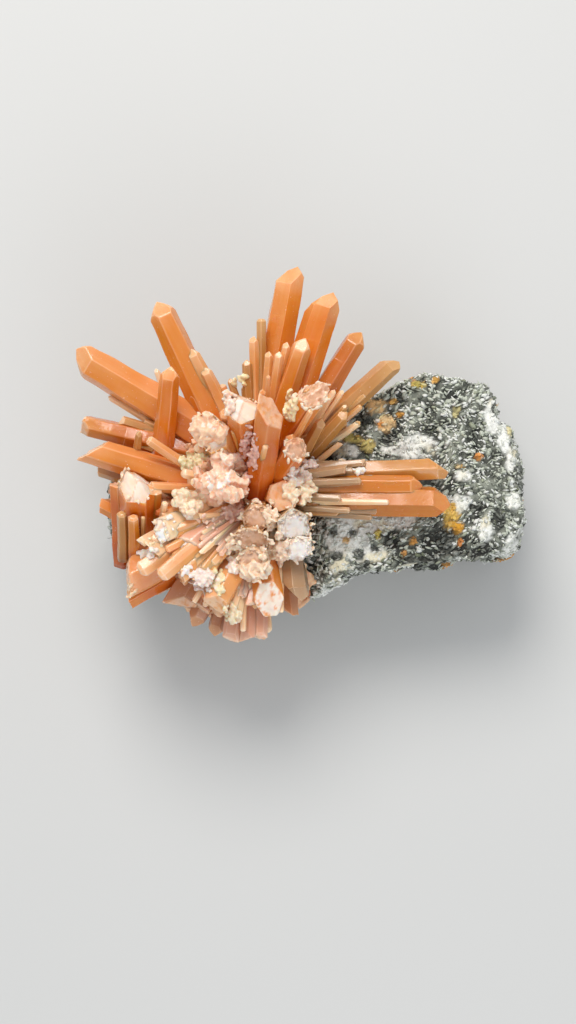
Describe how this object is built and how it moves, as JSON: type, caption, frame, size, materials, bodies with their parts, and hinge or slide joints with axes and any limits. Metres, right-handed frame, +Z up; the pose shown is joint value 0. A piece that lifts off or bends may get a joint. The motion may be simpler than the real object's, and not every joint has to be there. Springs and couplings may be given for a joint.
{
  "type": "quartz crystal cluster",
  "caption": "Spray of long and stubby six-sided orange quartz crystals grown together on one end of a rough block of grey, white and ochre rock, lying on the rock's flat back.",
  "frame": {"origin": "middle of the bounding box's base, on the surface that the rock's flat back lies on", "axes": "+Z up from the rock's flat back towards the crystals, +X from the crystals along the block to its bare end, +Y towards the tips of the longest crystals"},
  "size_m": [0.0649, 0.053, 0.0377],
  "materials": {
    "grey_rock": "matte",
    "orange_quartz": "satin"
  },
  "bodies": {
    "root": {"matrix_rock": "grey_rock", "crystal_spray": "orange_quartz"}
  },
  "joints": []
}
